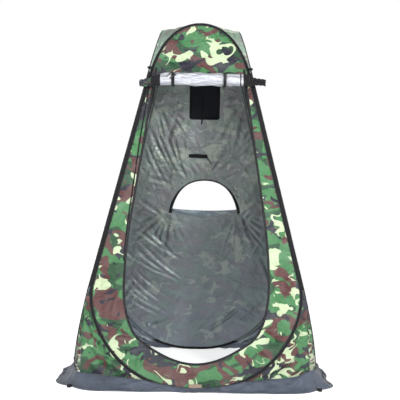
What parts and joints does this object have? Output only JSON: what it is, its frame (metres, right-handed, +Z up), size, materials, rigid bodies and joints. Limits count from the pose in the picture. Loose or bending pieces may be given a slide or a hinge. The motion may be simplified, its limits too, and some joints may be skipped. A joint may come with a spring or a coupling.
{
  "type": "privacy shower tent",
  "caption": "Pop-up camouflage privacy shower tent: leaning walls on sprung hoops, rolled-up door, open half-moon window, mesh vent, ground skirt and stake loops.",
  "frame": {"origin": "on the ground at the centre of the base", "axes": "+Z up, -Y out of the doorway, +X to the right as seen by someone facing the door"},
  "size_m": [1.39, 1.39, 1.8682],
  "materials": {
    "camo_fabric": "woodland camouflage printed polyester, silver coated inside",
    "roof_fabric": "the same printed polyester",
    "skirt_fabric": "plain slate blue polyester",
    "silver_fabric": "silver coated side of the rolled-up door",
    "black_webbing": "black woven tape and webbing",
    "mesh_fabric": "black netting",
    "zip_metal": "black enamelled zip slider",
    "toggle_plastic": "black moulded toggle",
    "spring_steel": "spring steel wire",
    "tab_leather": "tan patch"
  },
  "bodies": {
    "front": {"hoop_wire_front": "spring_steel", "hoop_ferrule_front": "spring_steel", "hoop_sleeve_front": "black_webbing", "front_wall": "camo_fabric", "corner_gusset_front_left": "camo_fabric", "corner_gusset_front_right": "camo_fabric", "skirt_front": "skirt_fabric", "roof_panel": "roof_fabric", "door_roll": "silver_fabric", "door_zip_track": "black_webbing", "door_tie_left": "black_webbing", "door_tie_right": "black_webbing", "stake_loop_front_left": "black_webbing", "stake_loop_front_right": "black_webbing", "guy_loop_front_left": "black_webbing", "guy_loop_front_right": "black_webbing", "hem_tab": "tab_leather"},
    "left": {"hoop_wire_left": "spring_steel", "hoop_ferrule_left": "spring_steel", "hoop_sleeve_left": "black_webbing", "left_wall": "camo_fabric", "skirt_left": "skirt_fabric"},
    "right": {"hoop_wire_right": "spring_steel", "hoop_ferrule_right": "spring_steel", "hoop_sleeve_right": "black_webbing", "right_wall": "camo_fabric", "skirt_right": "skirt_fabric"},
    "back": {"hoop_wire_back": "spring_steel", "hoop_ferrule_back": "spring_steel", "hoop_sleeve_back": "black_webbing", "back_wall": "camo_fabric", "corner_gusset_back_left": "camo_fabric", "corner_gusset_back_right": "camo_fabric", "skirt_back": "skirt_fabric", "window_zip_track": "black_webbing", "vent_mesh": "mesh_fabric", "vent_binding": "black_webbing", "vent_tie": "black_webbing", "hose_strap": "black_webbing", "stake_loop_back_left": "black_webbing", "stake_loop_back_right": "black_webbing", "guy_loop_back_left": "black_webbing", "guy_loop_back_right": "black_webbing"},
    "window_flap": {"window_flap": "camo_fabric"},
    "vent_flap": {"vent_storm_flap": "camo_fabric"},
    "door_slider": {"door_slider": "zip_metal"},
    "door_pull": {"door_pull": "zip_metal"},
    "window_slider": {"window_slider": "zip_metal"},
    "window_pull": {"window_pull": "zip_metal"},
    "toggle_left": {"door_toggle_left": "toggle_plastic"},
    "toggle_right": {"door_toggle_right": "toggle_plastic"}
  },
  "joints": [
    {"name": "fold_left", "type": "hinge", "parent": "front", "child": "left", "pos_m": [-0.63384, -0.63384, 0], "axis": [0.2208, 0.2208, 0.95], "range_deg": [0, 80], "stiffness_Nm_per_rad": 6, "deforming": ["corner_gusset_front_left", "corner_gusset_back_left", "roof_panel", "skirt_front", "skirt_left"]},
    {"name": "fold_right", "type": "hinge", "parent": "front", "child": "right", "pos_m": [0.63384, -0.63384, 0], "axis": [-0.2208, 0.2208, 0.95], "range_deg": [0, 80], "deforming": ["corner_gusset_front_right", "skirt_right"]},
    {"name": "fold_back", "type": "hinge", "parent": "right", "child": "back", "pos_m": [0.63384, 0.63384, 0], "axis": [-0.2208, -0.2208, 0.95], "range_deg": [-80, 0], "deforming": ["corner_gusset_back_right", "skirt_back"]},
    {"name": "window_flap_hinge", "type": "hinge", "parent": "back", "child": "window_flap", "pos_m": [0.041, 0.43972, 0.87045], "axis": [1, 0, 0], "range_deg": [0, 178]},
    {"name": "vent_flap_hinge", "type": "hinge", "parent": "back", "child": "vent_flap", "pos_m": [0.031, 0.26014, 1.64298], "axis": [1, 0, 0], "range_deg": [0, 150]},
    {"name": "door_zip_slide", "type": "slide", "parent": "front", "child": "door_slider", "axis": [0.129, -0.2245, -0.9659], "range_m": [0, 0.65]},
    {"name": "door_pull_hinge", "type": "hinge", "parent": "door_slider", "child": "door_pull", "pos_m": [0.23307, -0.27706, 1.58697], "axis": [-0.9916, -0.0292, -0.1257], "range_deg": [0, 150]},
    {"name": "window_zip_slide", "type": "slide", "parent": "back", "child": "window_slider", "axis": [-0.2887, -0.2168, 0.9325], "range_m": [0, 0.045]},
    {"name": "window_pull_hinge", "type": "hinge", "parent": "window_slider", "child": "window_pull", "pos_m": [0.24241, 0.43093, 0.87382], "axis": [-0.9574, 0.0654, -0.2812], "range_deg": [0, 150]},
    {"name": "toggle_left_turn", "type": "hinge", "parent": "front", "child": "toggle_left", "pos_m": [-0.14, -0.36684, 1.55234], "axis": [0, -0.974, 0.2264], "range_deg": [-60, 60]},
    {"name": "toggle_right_turn", "type": "hinge", "parent": "front", "child": "toggle_right", "pos_m": [0.129, -0.36684, 1.55234], "axis": [0, -0.974, 0.2264], "range_deg": [-80, 80]}
  ],
  "couplings": [
    {"joint": "fold_right", "follows": "fold_left", "ratio": 1},
    {"joint": "fold_back", "follows": "fold_left", "ratio": -1}
  ]
}
